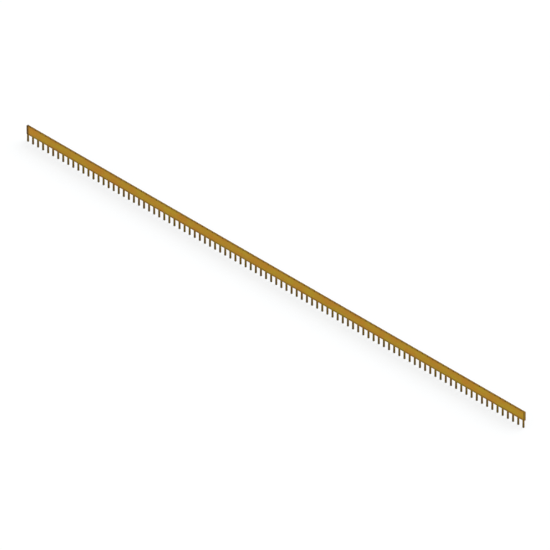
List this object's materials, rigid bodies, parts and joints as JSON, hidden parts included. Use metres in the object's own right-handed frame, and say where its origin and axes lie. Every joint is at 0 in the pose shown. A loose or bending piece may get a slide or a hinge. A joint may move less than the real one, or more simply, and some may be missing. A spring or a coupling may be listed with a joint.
{
  "type": "comb rack",
  "caption": "Long straight toothed rack: a thin brass back bar set along its lower edge with evenly spaced narrow blade teeth of darker metal, for a pinion to run on.",
  "frame": {"origin": "middle of the back bar's flat back face, which seats on the carriage that the rack is fastened to", "axes": "+X along the rack, +Y out of the back face, +Z away from the teeth, so the teeth point to -Z"},
  "size_m": [0.4872, 0.0016, 0.0132],
  "materials": {
    "brass": "satin rolled strip with a light brown patina, darker on its narrow edges",
    "tooth_metal": "browned bronze, satin, darkest at the tips"
  },
  "bodies": {
    "root": {"back_bar": "brass", "teeth_01": "tooth_metal", "teeth_02": "tooth_metal", "teeth_03": "tooth_metal", "teeth_04": "tooth_metal", "teeth_05": "tooth_metal", "teeth_06": "tooth_metal", "teeth_07": "tooth_metal", "teeth_08": "tooth_metal", "teeth_09": "tooth_metal", "teeth_10": "tooth_metal", "teeth_11": "tooth_metal", "teeth_12": "tooth_metal", "teeth_13": "tooth_metal", "teeth_14": "tooth_metal", "teeth_15": "tooth_metal", "teeth_16": "tooth_metal", "teeth_17": "tooth_metal", "teeth_18": "tooth_metal", "teeth_19": "tooth_metal", "teeth_20": "tooth_metal", "teeth_21": "tooth_metal", "teeth_22": "tooth_metal", "teeth_23": "tooth_metal", "teeth_24": "tooth_metal", "teeth_25": "tooth_metal", "teeth_26": "tooth_metal", "teeth_27": "tooth_metal", "teeth_28": "tooth_metal", "teeth_29": "tooth_metal", "teeth_30": "tooth_metal", "teeth_31": "tooth_metal", "teeth_32": "tooth_metal", "teeth_33": "tooth_metal", "teeth_34": "tooth_metal", "teeth_35": "tooth_metal", "teeth_36": "tooth_metal", "teeth_37": "tooth_metal", "teeth_38": "tooth_metal", "teeth_39": "tooth_metal", "teeth_40": "tooth_metal", "teeth_41": "tooth_metal", "teeth_42": "tooth_metal", "teeth_43": "tooth_metal", "teeth_44": "tooth_metal", "teeth_45": "tooth_metal", "teeth_46": "tooth_metal", "teeth_47": "tooth_metal", "teeth_48": "tooth_metal", "teeth_49": "tooth_metal"}
  },
  "joints": []
}
